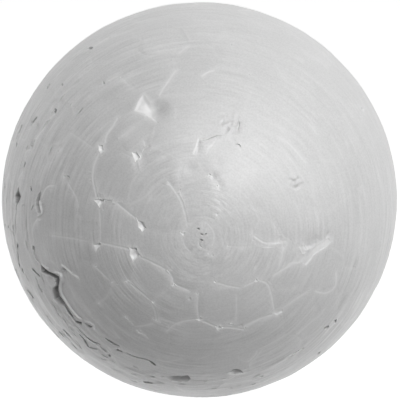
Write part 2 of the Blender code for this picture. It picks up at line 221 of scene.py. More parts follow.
# Seams that show on the front, with how strongly. Those above 1 stand proud, as the lips of cracks.
clearSeams = [
    (((-15.1, -4.05), (-14.75, -4.3), (-14.35, -4.4)), 1.3),
    (((-13.75, -4.6), (-13.15, -4.65), (-13.05, -5.1), (-13.2, -5.6), (-13.3, -6.2), (-13.2, -6.8),
      (-12.85, -7.3), (-12.35, -8.2), (-11.8, -8.9), (-11.2, -9.3)), 1.3),
    (((-14.35, -5.5), (-13.98, -5.95)), 1.3),
    (((-13.1, -3.7), (-12.65, -3.9), (-12.25, -4.3), (-11.9, -4.5), (-11.5, -4.6), (-11.4, -4.95)), 1.2),
    (((-10.95, -9.3), (-10.4, -9.35), (-10, -9.65), (-10.05, -10)), 1.2),
    (((-9, -8.2), (-7.6, -9.5), (-6.6, -10.3)), 0.5),
    (((-5.9, -9.6), (-5.3, -9.85), (-4.85, -10.4)), 1),
    (((-15.2, 2.1), (-15.05, 1.4), (-14.9, 1.1), (-15.15, 0.85), (-15.4, 0.6)), 1.3),
    (((-13.7, 3.9), (-14.4, 3.75), (-14.8, 3.2), (-15, 2.6)), 0.9),
    (((-14.3, 9.7), (-15.4, 8.2), (-16, 7.35), (-16.2, 6.65), (-16.7, 6.5), (-16.9, 5.9), (-16.95, 5.3)),
      0.9),
    (((9.8, -2.4), (9, -2.6), (8.4, -2.9)), 0.9), (((8.25, -0.9), (7.8, -1.5), (7.55, -2.1)), 0.7),
    (((6.5, -0.8), (7.2, -0.7), (8.1, -0.65)), 0.9), (((-5.1, 8.6), (-5, 8.2)), 0.7),
    (((-4.6, 10.75), (-4.05, 10.4)), 1.1),
    (((-15.45, 0.5), (-15.95, -0.2), (-16.1, -1), (-16.1, -2), (-16, -2.6)), 1),
    (((-17.8, 0.2), (-18, -1.2), (-17.9, -2.6)), 1), (((0.9, 8.15), (1.3, 8.35)), 0.7),
    (((-2.9, 5.1), (-2.3, 4.4), (-1.7, 3.5), (-1.4, 2.6), (-1.1, 1.2)), 0.5),
    (((-7.6, 10.5), (-7.9, 9.9), (-8.2, 9.5), (-8.65, 8.9), (-8.75, 8.2)), 0.9),
    (((-6, 9.8), (-7.3, 8.9)), 0.6),
    (((-9.3, 7.3), (-9.8, 6.2), (-9.95, 5), (-9.7, 4), (-9.5, 3.1)), 0.9),
    (((-7.6, 2.9), (-5.8, 1.6)), 0.8), (((-9.25, 2.3), (-9.15, 0.5), (-9.2, -0.7)), 0.7),
    (((-9, -0.95), (-7.5, -1.15), (-6.5, -1.3)), 0.9),
    (((-5.5, -2), (-4.2, -2.5), (-2.85, -3.25), (-2.5, -3.8), (-2.4, -4.5), (-1.8, -4.8), (-1, -5.1)),
      0.8),
    (((-6.8, -4.5), (-5.5, -5.4), (-4.6, -6.2)), 0.6), (((-9.6, -3.4), (-8.3, -4.6)), 0.7),
    (((-12.4, 4.4), (-11.4, 3), (-11.3, 2.3)), 0.7), (((-14, -0.9), (-12, -0.8), (-10.5, -0.9)), 0.6),
    (((5.1, 0), (6.2, -0.85), (7.5, -0.4)), 0.7), (((7.8, -0.8), (7.8, -2), (7.4, -3)), 0.6),
    (((6.8, -4), (8.3, -3), (9.7, -2.7)), 0.8), (((1.4, -4.25), (2.6, -4.7), (3.7, -4.9)), 0.6),
    (((4.2, -4.8), (5.2, -4.3), (6.4, -4.5), (6.8, -6), (7.1, -7.8)), 0.7),
    (((-0.1, -5.5), (-0.2, -6.8), (0, -8.1)), 0.6),
    (((-3, -9.5), (-2.3, -8.7), (-1.2, -8.2), (0, -8.1), (1.8, -9.1), (3, -9.05), (4.2, -9.4)), 0.9),
    (((4.3, -8.9), (6, -8.1), (7.8, -7.8)), 0.8), (((-6, -9.2), (-5, -9), (-4.3, -8.7)), 0.8),
    (((-7.1, -8.2), (-6.2, -9)), 1), (((10.4, -5.8), (9, -6.6), (8, -7.3)), 0.7),
    (((11, -6), (12, -6.5), (13, -6.1), (13.1, -5.2), (13, -4.5)), 0.7),
    (((-2.2, 14.7), (-2.7, 14), (-3.7, 12.6)), 0.7), (((-2, 16.1), (-1, 16.8)), 0.6),
    (((7.4, 8.8), (8.3, 8.2), (9.2, 7.2), (9.9, 6.4)), 0.4), (((10.5, 9.6), (11, 8.8)), 0.4),
    (((0.3, 14.25), (0.9, 14.6), (1.5, 14.7)), 0.8), (((0, 8.9), (-0.2, 8.2), (-0.5, 7.6)), 0.7),
    (((3.5, 8.4), (3.8, 8.2), (3.8, 7.8)), 0.6), (((1.6, 8.8), (1.1, 8.2), (0.6, 7.6)), 0.4),
    (((-10.5, 16.1), (-8.9, 17)), 0.6), (((-4.2, -15.5), (-2.5, -15.3)), 0.6),
    (((-1, -15.2), (0.5, -15.2)), 0.6), (((-8.6, 13.55), (-8.2, 13.85), (-7.7, 14)), 0.7),
    (((-5.95, -9.6), (-5.6, -9.85), (-5.1, -10.2)), 1),
    (((-0.6, 1.45), (-1.3, 0.8), (-1.55, 0), (-1.3, -0.9), (-0.7, -1.4)), 0.5),
    (((0.5, 1.5), (1.2, 0.95), (1.5, 0.1), (1.2, -0.9)), 0.35),
    (((-6.9, 8.9), (-6.5, 9.2), (-6, 9.7)), 0.7), (((-13.5, 11), (-13.75, 10.3), (-14.3, 9.8)), 0.8),
    (((-14.15, 10.9), (-14.3, 10.5)), 0.8), (((-8, -4.9), (-8.6, -6.2), (-9.4, -7)), 0.5),
    (((-4.4, -6.6), (-4.1, -7.4), (-4, -8.3)), 0.5),
]


def evenDirections(count):
    # a sunflower spread over the whole ball
    index = np.arange(count) + 0.5
    up = 1 - 2 * index / count
    around = math.pi * (1 + math.sqrt(5)) * index
    level = np.sqrt(1 - up * up)
    return np.stack((level * np.cos(around), level * np.sin(around), up), axis=1)


sideHollows = {
    "probes": 30000,
    "sense": 0.15 * mm,  # deeper places of the solid ball count as open
    "frontReach": 17 * mm,  # the hollows above take over nearer to the front's middle than this
    "together": 0.9 * mm,  # open places closer than this are one hollow
    "leastReach": 0.35 * mm,
    "size": 0.62,  # share of the solid's hollow that shows as an opening
    "depth": 0.6,
    # how white the side hollows are: partly whiter bead skin, partly painted light
    "white": 0.4,
    "seed": 5,
}


def findSideHollows():
    # the solid ball's own hollows, away from the front, as middles, reaches and depths
    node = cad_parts["ball"]
    corners = [vert.co for vert in node.data.vertices]
    tree = BVHTree.FromPolygons(corners, [face.vertices for face in node.data.polygons])
    loose = []
    for direction in evenDirections(sideHollows["probes"]):
        outward = Vector(direction)
        level = math.hypot(direction[0], direction[2]) * ballRadius
        if direction[1] < 0 and level < sideHollows["frontReach"]:
            continue
        hit = tree.ray_cast(outward * ballRadius * 1.1, -outward)[0]
        depth = ballRadius - hit.length
        if depth > sideHollows["sense"]:
            loose.append((outward * ballRadius, depth))
    groups = []
    for point, depth in loose:
        for group in groups:
            if min((point - other[0]).length for other in group) < sideHollows["together"]:
                group.append((point, depth))
                break
        else:
            groups.append([(point, depth)])
    found = []
    for group in groups:
        middle = sum((point for point, depth in group), Vector()) / len(group)
        reach = max(sideHollows["leastReach"], max((point - middle).length for point, depth in group))
        found.append((np.array(middle.normalized()) * ballRadius, reach, max(d for p, d in group)))
    return found


sideFound = findSideHollows()
print("hollows on the sides and back:", len(sideFound))


def packBeads():
    chance = np.random.default_rng(beadPack["seed"])
    front = np.array(beadPack["frontFaces"])
    centres, radii = onFront(front[:, :2]), front[:, 2] * mm
    trials = onBall(chance.normal(size=(beadPack["trials"], 3)))
    gap = (distances(trials, centres) - radii).min(1)
    for middle, reach, _ in sideFound:
        gap = np.minimum(gap, distances(trials, middle[None])[:, 0] - beadPack["hollowShare"] * reach)
    while gap.max() > beadPack["smallestGap"]:
        best = int(np.argmax(gap))
        size = chance.uniform(*beadPack["sizes"]) * beadPack["largestFace"]
        if gap[best] > size:  # take the tightest place that this size of bead still fits
            fitting = np.where(gap >= size)[0]
            best = fitting[np.argmin(gap[fitting])]
        radius = min(gap[best], size)
        centres = np.vstack((centres, trials[best]))
        radii = np.append(radii, radius)
        gap = np.minimum(gap, distances(trials, trials[best:best + 1])[:, 0] - radius)
    return centres, np.maximum(radii, beadPack["smallestFace"])


beadCentres, beadRadii = packBeads()
beadCount = len(beadRadii)
print("beads packed:", beadCount)


def outside(points, bead=None):
    # how far points lie outside a bead's rim; all beads, or one bead for each point
    if bead is None:
        return distances(points, beadCentres) - beadRadii
    return norm(points - beadCentres[bead], axis=1) - beadRadii[bead]


def nearestTwo(points):
    first = np.empty(len(points), int)
    second = np.empty(len(points), int)
    batch = 5000  # points at a time
    for start in range(0, len(points), batch):
        stretch = slice(start, start + batch)
        away = outside(points[stretch])
        order = np.argpartition(away, 1, axis=1)[:, :2]
        pair = np.take_along_axis(away, order, axis=1)
        swap = pair[:, 0] > pair[:, 1]
        order[swap] = order[swap][:, ::-1]
        first[stretch], second[stretch] = order[:, 0], order[:, 1]
    return first, second, outside(points, first), outside(points, second)


foamSkin = {
    "divisions": 6,
    "refine": ((None, 1), (0.35 * mm, 1), (0.1 * mm, 1)),  # how near to a hollow, and cuts of an edge
    "frontFrom": -0.35,  # the first cuts only what lies further forward, in ball radii
    "tornShare": 0.3,  # torn patches are cut finer where they are higher than this share of it
    "snap": 0.22,  # a point this near to an edge's end moves to it
    "edgeReach": 0.5 * mm,  # how far a path looks for the edges that it crosses
    "seamLip": 0.16 * mm,  # half the width of the groove between two beads
    "seamDeep": 0.028 * mm,
    "lipRise": 0.42 * mm,  # how far a seam of strength 2 would stand proud
    "lipFrom": 1.1,
    "lipWhite": 0.6,  # how white the foam is beside such a lip, against other seams
    "softWhite": 0.5,  # the foam is a little whiter near a seam
    "softReach": 0.3 * mm,
    # how far down a gap must go for its painted shade to be full
    "paintedShadeDepth": 0.3 * mm,
    # a white halo round white hollows: partly whiter skin, partly painted light on their lips
    "haloWhiteAndLight": 0.6,
    "haloReach": 0.22 * mm,
    "bulge": 0.016 * mm,  # how far a bead's face rises above its seams
    "bulgeReach": 0.6 * mm,
    "wave": 0.03 * mm,
    "waveScale": 330,
    "tornGrain": 2600,
    "hollowGrain": 0.15,
    "patchFall": 1.5,  # how fast dimples and torn patches fade from their middle
    "patchReach": 4 * mm,
    "seamChance": (1.5, -0.45),  # slope and start of how strongly other seams show, by chance
    "leastSeam": 0.04,
    "faintSeams": (0.65, 0.15),  # how much of that is left, at the lower left and upper right
    "frontFade": 3 * mm,
    "seamSpacing": 0.03 * mm,  # between the points that stand for a clear seam
    "clearReach": 0.4 * mm,  # other seams stay this far from the clear ones
    "clearFade": 0.6 * mm,
    "onSeam": 0.05 * mm,
    "faceStep": 0.006 * mm,
    "faceTilt": 0.022,
    "tiltSpread": 1.7,  # about the root of three, because a tilt has three parts
    "faceFade": 0.3 * mm,
    "seed": 3,
}
lightSide = np.array((0.8, 0.6))  # the light comes from the right and above


def flatAxes(middle):
    # rightwards and upwards on the ball's surface
    outward = unit(middle)
    up = np.array((0, 0, 1.0)) - outward * outward[2]
    up = up / norm(up)
    return np.stack((np.cross(up, outward), up))


def nearTo(points, middle, reach):
    # which points lie within reach of a place on the ball
    return np.where(points @ middle > ballRadius ** 2 - reach ** 2 / 2)[0]


def segmentDistance(flat, start, end):
    along = end - start
    share = np.clip((flat - start) @ along / max(along @ along, 1e-18), 0, 1)
    return norm(flat - start - share[:, None] * along, axis=1)


openings = {
    "bow": 0.1,  # how far the sides of a hollow between three beads curve in
    "fewCorners": 8,  # outlines with this many corners or more keep straight sides
    "leanPower": 1.5,
    "crackTaper": 0.45,
    "smallSlopes": (0.8, 2.0),
    "smallSpread": (0.8, 1.2),
    "smallWhiteAndLight": (1.0, 0.25),  # at the lower left and upper right; whiter bead skin and painted light in the small hollows
    "softEdge": 1.2 * mm,  # how far a hollow whitens the foam round it, partly with painted light
    "whiteAndLightEdge": 0.06 * mm,
}


class Hollow:
    def __init__(self, middle, corners, slopes, depth, lean, white):
        # the corners go round the hollow counter-clockwise, seen from outside the ball
        self.middle = middle
        self.axes = flatAxes(middle)
        self.white = white
        gentle, steep = slopes
        corners = np.array(corners)
        along = np.roll(corners, -1, axis=0) - corners
        bow = openings["bow"] if len(corners) < openings["fewCorners"] else 0
        sides = corners + along / 2 + np.stack((-along[:, 1], along[:, 0]), axis=1) * bow
        self.outline = np.stack((corners, sides), axis=1).reshape(-1, 2)
        self.depth = depth
        self.reach = norm(self.outline, axis=1).max()
        ends = np.roll(self.outline, -1, axis=0)
        along = ends - self.outline
        normals = np.stack((along[:, 1], -along[:, 0]), axis=1)
        normals = normals / np.maximum(norm(normals, axis=1, keepdims=True), 1e-12)
        facing = 0.5 + 0.5 * normals @ lean
        self.slopes = gentle + (steep - gentle) * facing ** openings["leanPower"]
        self.ends = ends

    def measure(self, points):
        flat = (points - self.middle) @ self.axes.T
        inside = np.zeros(len(flat), bool)
        edge = np.full(len(flat), 1.0)
        sink = np.full(len(flat), 1.0)
        for start, end, slope in zip(self.outline, self.ends, self.slopes):
            away = segmentDistance(flat, start, end)
            edge = np.minimum(edge, away)
            sink = np.minimum(sink, away * slope)
            spans = (start[1] > flat[:, 1]) != (end[1] > flat[:, 1])
            rise = end[1] - start[1] if end[1] != start[1] else 1e-12
            crossing = start[0] + (flat[:, 1] - start[1]) * (end[0] - start[0]) / rise
            inside ^= spans & (flat[:, 0] < crossing)
        return np.where(inside, edge, -edge), np.where(inside, np.minimum(sink, self.depth), 0)


class Crack:
    def __init__(self, path, width, depth):
        self.path = finePath(path)
        self.middle = onBall(self.path.mean(0))
        self.reach = norm(self.path - self.middle, axis=1).max() + width
        self.width, self.depth = width, depth
        self.white = 0.0

    def measure(self, points):
        inner = np.full(len(points), -1.0)
        last = max(len(self.path) - 2, 1)
        for index, (start, end) in enumerate(zip(self.path, self.path[1:])):
            taper = 1 - openings["crackTaper"] * abs(2 * index / last - 1) ** 2 if last > 2 else 1
            inner = np.maximum(inner, self.width * taper - segmentDistance(points, start, end))
        return inner, np.clip(inner / self.width, 0, 1) * self.depth


def finePath(places):
    # corners cut twice, then laid on the ball
    places = np.array(places, float)
    for _ in range(2 if len(places) > 2 else 0):
        starts, ends = places[:-1], places[1:]
        inner = np.stack((starts * 0.75 + ends * 0.25, starts * 0.25 + ends * 0.75), axis=1).reshape(-1, 2)
        places = np.vstack((places[:1], inner[1:-1], places[-1:]))
    return onFront(places)


def strongerBelow(points, levels):
    # from the first level at the lower left to the second at the upper right
    share = np.clip(points @ (0.6, 0, 0.8) / ballRadius + 0.5, 0, 1)
    return levels[0] + (levels[1] - levels[0]) * share


rimTicks = {
    "count": 75,
    "from": 135,  # degrees round the outline, counter-clockwise from the right
    "to": 290,
    "innerReach": 15.5,  # millimetres from the ball's middle
    "outerReach": 19.6,
    "crowding": 4,  # the higher, the more of them lie near the outline
    "shortest": 0.15,
    "longest": 1.1,
    "drift": 0.12,
    "halfWidths": (0.05, 0.11),
    "depths": (0.15, 0.45),
    "seed": 21,
}


def spreadRimTicks():
    # short open seams, which the tool tore along its rings
    chance = np.random.default_rng(rimTicks["seed"])
    power = rimTicks["crowding"]
    inner, outer = rimTicks["innerReach"] ** power, rimTicks["outerReach"] ** power
    ticks = []
    for _ in range(rimTicks["count"]):
        around = math.radians(chance.uniform(rimTicks["from"], rimTicks["to"]))
        reach = chance.uniform(inner, outer) ** (1 / power)
        turn = chance.uniform(rimTicks["shortest"], rimTicks["longest"]) / reach
        drift = chance.normal() * rimTicks["drift"]
        path = [((reach + drift * share) * math.cos(around + turn * share),
                 (reach + drift * share) * math.sin(around + turn * share)) for share in (-0.5, 0, 0.5)]
        width = chance.uniform(*rimTicks["halfWidths"])
        ticks.append((path, width, chance.uniform(*rimTicks["depths"])))
    return ticks


def gatherHollows():
    found = []
    chance = np.random.default_rng(sideHollows["seed"])
    for corners, gentle, steep, depth, white in frontHollows:
        middle = onFront(np.mean(corners, axis=0))[0]
        flat = (onFront(corners) - middle) @ flatAxes(middle).T
        found.append(Hollow(middle, flat, (gentle, steep), depth * mm, lightSide, white))
    spots = []
    for x, z, reach, depth in smallHollows:
        middle = onFront((x, z))[0]
        white = strongerBelow(middle[None], openings["smallWhiteAndLight"])[0]
        spots.append((middle, reach * mm, depth * mm, lightSide, white))
    for middle, reach, depth in sideFound:
        lean = chance.normal(size=2)
        lean = lean / norm(lean)
        reach, depth = reach * sideHollows["size"], depth * sideHollows["depth"]
        spots.append((middle, reach, depth, lean, sideHollows["white"]))
    for middle, reach, depth, lean, white in spots:
        near = np.argsort(outside(middle[None])[0])[:3]
        toBeads = (beadCentres[near] - middle) @ flatAxes(middle).T
        turns = np.sort(np.arctan2(toBeads[:, 1], toBeads[:, 0]))
        between = (turns + np.roll(turns, -1) + np.array((0, 0, 2 * math.pi))) / 2
        corners = np.stack((np.cos(between), np.sin(between)), axis=1) * reach
        corners = corners * chance.uniform(*openings["smallSpread"], (3, 1))
        found.append(Hollow(middle, corners, openings["smallSlopes"], depth, lean, white))
    for path, width, depth in cracks + spreadRimTicks():
        found.append(Crack(path, width * mm, depth * mm))
    return found


hollows = gatherHollows()
print("hollows and cracks:", len(hollows))


def openness(points):
    # how far points lie inside a hollow, below zero outside, the depth of the ball there, and how white:
    # partly whiter bead skin, partly painted light in and round the hollows
    inner = np.full(len(points), -1.0)
    depth, white, whiteAndLitHalo = (np.zeros(len(points)) for _ in range(3))
    for hollow in hollows:
        near = nearTo(points, hollow.middle, hollow.reach + openings["softEdge"])
        if len(near):
            sign, sink = hollow.measure(points[near])
            inner[near] = np.maximum(inner[near], sign)
            depth[near] = np.maximum(depth[near], sink)
            white[near[sign > 0]] = hollow.white
            soft = foamSkin["haloWhiteAndLight"] * hollow.white * np.exp(-(sign / foamSkin["haloReach"]) ** 2)
            whiteAndLitHalo[near] = np.maximum(whiteAndLitHalo[near], soft)
    edge = np.clip(inner / openings["whiteAndLightEdge"], 0, 1)
    return inner, depth, np.where(inner > 0, whiteAndLitHalo + (white - whiteAndLitHalo) * edge, whiteAndLitHalo)


def inPatches(patches, points):
    # one number for each point: the heights or depths of soft-edged round patches
    total = np.zeros(len(points))
    for x, z, across, up, height in patches:
        middle = onFront((x, z))[0]
        near = nearTo(points, middle, foamSkin["patchReach"])
        flat = (points[near] - middle) @ flatAxes(middle).T / (across * mm, up * mm)
        total[near] += height * mm * np.exp(-foamSkin["patchFall"] * (flat ** 2).sum(1))
    return total


def treeOf(places):
    tree = KDTree(len(places))
    for index, place in enumerate(places):
        tree.insert(place, index)
    tree.balance()
    return tree


def sowSeams():
    # close points along the clear seams, to measure how far away a seam is
    points, levels = [], []
    for path, level in clearSeams:
        path = finePath(path)
        for start, end in zip(path, path[1:]):
            count = max(2, int(norm(end - start) / foamSkin["seamSpacing"]))
            for share in np.linspace(0, 1, count):
                points.append(onBall(start + (end - start) * share))
                levels.append(level)
    return treeOf(points), np.array(levels)


seamTree, seamLevels = sowSeams()


def clearSeamGap(points):
    gap = np.full(len(points), 1.0)
    level = np.zeros(len(points))
    for index, point in enumerate(points):
        if point[1] < 0:
            _, sown, gap[index] = seamTree.find(point)
            level[index] = seamLevels[sown]
    return gap, level


def pointsOf(bm):
    bm.verts.ensure_lookup_table()
    bm.verts.index_update()
    return np.array([v.co[:] for v in bm.verts])


def splitWideFaces(bm):
    bmesh.ops.triangulate(bm, faces=[f for f in bm.faces if len(f.verts) > 3])


def traceLine(bm, line, mark, edges, shares, least=0.12):
    # puts a line of the skin's own edges through the points that lie at shares along edges
    marked = {}  # not a set, because a set of points has another order each run, and so would the faces
    crossings = sorted(zip(edges, shares), key=lambda pair: min(pair[1], 1 - pair[1]))
    for edge, share in crossings:
        start, end = edge.verts
        vert = start if share < 0.5 else end
        if min(share, 1 - share) < foamSkin["snap"] and vert[line] == 0 and vert not in marked:
            place = start.co.lerp(end.co, share)
            vert.co = place.normalized() * ballRadius
            marked[vert] = True
    for edge, share in crossings:
        start, end = edge.verts
        if start in marked or end in marked:
            continue
        share = min(max(share, least), 1 - least)
        vert = bmesh.utils.edge_split(edge, start, share)[1]
        vert.co = vert.co.normalized() * ballRadius
        marked[vert] = True
    for vert in marked:
        vert[line] = mark
    bmesh.ops.connect_verts(bm, verts=list(marked))
    splitWideFaces(bm)


def levelCrossings(bm, values):
    # edges that pass through zero, with where
    edges, shares = [], []
    for edge in bm.edges:
        start, end = edge.verts
        first, last = values[start.index], values[end.index]
        if (first < 0) != (last < 0):
            edges.append(edge)
            shares.append(first / (first - last))
    return edges, shares


def packedSeamCrossings(bm, points, first):
    edges, starts, ends = [], [], []
    for edge in bm.edges:
        start, end = edge.verts
        if first[start.index] != first[end.index]:
            edges.append(edge)
            starts.append(start.index)
            ends.append(end.index)
    here, there = points[starts], points[ends]
    beadA, beadB = first[starts], first[ends]
    low, high = np.zeros(len(edges)), np.ones(len(edges))
    for _ in range(8):  # halved until the crossing is near enough
        middle = (low + high) / 2
        place = onBall(here + (there - here) * middle[:, None])
        inA = outside(place, beadA) < outside(place, beadB)
        low = np.where(inA, middle, low)
        high = np.where(inA, high, middle)
    return edges, list((low + high) / 2)


def pathCrossings(bm, paths):
    # where paths run over the skin's edges
    bm.edges.ensure_lookup_table()
    bm.edges.index_update()
    tree = treeOf([(edge.verts[0].co + edge.verts[1].co) / 2 for edge in bm.edges])
    crossed = {}
    for path in paths:
        path = [Vector(place) for place in path]
        for start, end in zip(path, path[1:]):
            across = start.cross(end)
            reach = (end - start).length / 2 + foamSkin["edgeReach"]
            for _, index, _ in tree.find_range((start + end) / 2, reach):
                edge = bm.edges[index]
                a, b = edge.verts[0].co, edge.verts[1].co
                sideA, sideB = across.dot(a), across.dot(b)
                plane = a.cross(b)
                if sideA * sideB < 0 and plane.dot(start) * plane.dot(end) < 0 and index not in crossed:
                    crossed[index] = sideA / (sideA - sideB)
    return [bm.edges[index] for index in crossed], list(crossed.values())


crackRoot, hollowLip, seam, seamEdge = 1, 2, 3, 4


def makeSkin():
    bm = bmesh.new()
    bmesh.ops.create_icosphere(bm, subdivisions=foamSkin["divisions"], radius=ballRadius)
    line = bm.verts.layers.int.new("line")

    for reach, cuts in foamSkin["refine"]:
        points = pointsOf(bm)
        if reach is None:  # the whole front
            fine = set(np.where(points[:, 1] < foamSkin["frontFrom"] * ballRadius)[0])
        else:
            rough = inPatches(tornPatches, points) > foamSkin["tornShare"] * reach
            fine = set(np.where((openness(points)[0] > -reach) | rough)[0])
        edges = [e for e in bm.edges if e.verts[0].index in fine and e.verts[1].index in fine]
        bmesh.ops.subdivide_edges(bm, edges=edges, cuts=cuts, use_grid_fill=True)
        splitWideFaces(bm)
        for vert in bm.verts:
            vert.co = vert.co.normalized() * ballRadius
        print("skin refined:", len(bm.faces), "faces")

    roots = [hollow.path for hollow in hollows if isinstance(hollow, Crack)]
    traceLine(bm, line, crackRoot, *pathCrossings(bm, roots))
    traceLine(bm, line, hollowLip, *levelCrossings(bm, openness(pointsOf(bm))[0]))
    print("cracks and hollow lips traced:", len(bm.faces), "faces")

    traceLine(bm, line, seam, *pathCrossings(bm, [finePath(path) for path, level in clearSeams]))
    points = pointsOf(bm)
    traceLine(bm, line, seam, *packedSeamCrossings(bm, points, nearestTwo(points)[0]))
    print("seams traced:", len(bm.faces), "faces")

    half = seamGap(bm, line, pointsOf(bm))[0]
    traceLine(bm, line, seamEdge, *levelCrossings(bm, half - foamSkin["seamLip"]), least=0.03)
    print("groove lips traced:", len(bm.faces), "faces")
    return bm, line


def seamGap(bm, line, points):
    # how far points lie from the nearest seam, and how strongly that seam shows
    chance = np.random.default_rng(foamSkin["seed"])
    first, second, near, nextNear = nearestTwo(points)
    table = chance.random((beadCount, beadCount))
    low, high = np.minimum(first, second), np.maximum(first, second)
    slope, start = foamSkin["seamChance"]
    level = np.clip(table[low, high] * slope + start, foamSkin["leastSeam"], 1)
    frontal = np.clip(-points[:, 1] / foamSkin["frontFade"], 0, 1)
    level = level * (1 - frontal * (1 - strongerBelow(points, foamSkin["faintSeams"])))
    packed = (nextNear - near) / 2
    clear, clearLevel = clearSeamGap(points)
    level = level * np.clip((clear - foamSkin["clearReach"]) / foamSkin["clearFade"], 0, 1)
    isClear = (clear < packed) | (clear < foamSkin["clearReach"])
    half = np.where(isClear, clear, packed)
    level = np.where(isClear, clearLevel, level)
    onLine = np.array([v[line] == seam for v in bm.verts])
    half[onLine & (half < foamSkin["onSeam"])] = 0
    return half, level, first


def shapeSkin(bm, line):
    chance = np.random.default_rng(foamSkin["seed"] + 1)
    points = pointsOf(bm)
    marks = np.array([v[line] for v in bm.verts])
    half, level, bead = seamGap(bm, line, points)
    inner, depth, white = openness(points)
    depth[marks == hollowLip] = 0
    inHollow = depth > 0
    inGroove = np.clip(1 - half / foamSkin["seamLip"], 0, 1)
    softly = foamSkin["softWhite"] * np.exp(-(half / foamSkin["softReach"]) ** 2)
    step = chance.uniform(-1, 1, beadCount)[bead] * foamSkin["faceStep"]
    tilts = chance.normal(size=(beadCount, 3)) * foamSkin["faceTilt"] / foamSkin["tiltSpread"]
    step = step + ((points - beadCentres[bead]) * tilts[bead]).sum(1)
    step = step * np.clip((half - foamSkin["seamLip"]) / foamSkin["faceFade"], 0, 1)
    bulge = foamSkin["bulge"] * level * np.exp(-(half / foamSkin["bulgeReach"]) ** 2)
    rough = np.array([noise.noise(Vector(p) * foamSkin["tornGrain"]) for p in points])
    wave = np.array([noise.noise(Vector(p) * foamSkin["waveScale"]) for p in points]) * foamSkin["wave"]
    isLip = level > foamSkin["lipFrom"]
    softly = np.where(isLip, foamSkin["lipWhite"] * softly, softly)
    seamSink = np.where(isLip, foamSkin["lipRise"] * (1 - level), level * foamSkin["seamDeep"])
    onSkin = seamSink * inGroove + bulge - step
    sink = np.where(inHollow, depth * (1 + foamSkin["hollowGrain"] * rough), onSkin)
    sink[marks == hollowLip] = 0
    sink = sink + inPatches(dimples, points) + wave + inPatches(tornPatches, points) * rough
    places = unit(points) * (ballRadius - sink)[:, None]
    for vert, place in zip(bm.verts, places):
        vert.co = place

    values = {
        "seam": np.where(inHollow, 0, np.clip(np.maximum(inGroove, softly) * level, 0, 1)),
        # whiter bead skin and painted light in the hollows
        "hollow": white,
        # painted shade: hollows turn grey as they go down, the less white they are the more
        "paintedShade": np.where(inHollow, np.clip(depth / foamSkin["paintedShadeDepth"], 0, 1) * (1 - white), 0),
        "face": chance.random(beadCount)[bead],
    }
    for name, numbers in values.items():
        layer = bm.verts.layers.float.new(name)
        for vert, number in zip(bm.verts, numbers):
            vert[layer] = float(number)

    for face in bm.faces:
        face.smooth = True
    for edge in bm.edges:
        if edge.verts[0][line] and edge.verts[1][line]:
            edge.smooth = False


def pieceOf(name, bm):
    mesh = bpy.data.meshes.new(name)
    bm.to_mesh(mesh)
    bm.free()
    piece = bpy.data.objects.new(name, mesh)
    bpy.context.scene.collection.objects.link(piece)
    return piece


def makeBall():
    bm, line = makeSkin()
    shapeSkin(bm, line)
    bmesh.ops.recalc_face_normals(bm, faces=bm.faces)
    piece = pieceOf("foam_ball", bm)
    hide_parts("ball")
    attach(piece, "root")
    print("ball shaped:", len(piece.data.polygons), "faces")
    return piece


foamFinish = {
    "white": 0.74,
    "faceTones": (0.985, 1.015),  # the darkest and lightest bead faces, times that white
    # the whiter skin of the seams, also the colour of the painted light in hollows
    "seamWhiteAndHollowLight": 0.96,
    "paintedShadeGrey": 0.42,  # painted shade: grey in the gaps between the beads, where little light reaches
    "shader": {
        "Roughness": 0.42,
        "Specular IOR Level": 1.0,
        "IOR": 1.58,
        "Anisotropic": 0.45,  # the turning rings draw the highlight out towards the rim
        "Anisotropic Rotation": 0.25,
        "Sheen Weight": 0.1,
        "Sheen Roughness": 0.4,
        "Subsurface Weight": 0.12,
        "Subsurface Radius": (1, 1, 1),
        "Subsurface Scale": 0.3 * mm,
    },
    "ringsPerMetre": 3600,
    "ringBreaks": 3,  # a ring fades out and back this often, about
    "ringDetail": 1.5,
    "ringHeight": 0.036 * mm,
    "broadRingsPerMetre": 1900,
    "broadRingHeight": 0.13 * mm,  # reached at the ball's outline
    "ringPatch": 230,  # patches of strong rings, as a noise scale
    "patchDetail": 2,
    "patchShares": (0.38, 0.68, 0.2),  # noise from and to, and what is left of the rings at the first
    # the side the light comes from: the rings' relief and their painted shade fade towards it
    "ringFadeSide": (0.6, 0.0, 0.8),
    "ringFadeFrom": -0.5,  # in ball radii along that side
    "ringFadeShares": (2, 0.25),  # how strong the rings are there, and at that side's end
    "paintedRingShade": 0.36,  # painted light and shade along the tool rings
    "broadPaintedRingShade": 0.7,
    "cellTone": 0.3,
    "patchTone": 0.1,
    "cellScale": 6000,
    "cellDetail": 2,
    "cellHeight": 0.006 * mm,
}


def grey(level):
    return (level, level, level, 1)


def fillInputs(tree, node, inputs):
    # each input is joined to another node's output or set to a value
    for name, value in inputs.items():
        if isinstance(value, bpy.types.NodeSocket):
            tree.links.new(value, node.inputs[name])
        else:
            node.inputs[name].default_value = value


def addNode(tree, kind, inputs, **settings):
    node = tree.nodes.new("ShaderNode" + kind)
    for name, value in settings.items():
        setattr(node, name, value)
    fillInputs(tree, node, inputs)
    return node.outputs


def rangeOf(tree, value, limits):
    names = ("From Min", "From Max", "To Min", "To Max")
    return addNode(tree, "MapRange", {"Value": value, **dict(zip(names, limits))})[0]


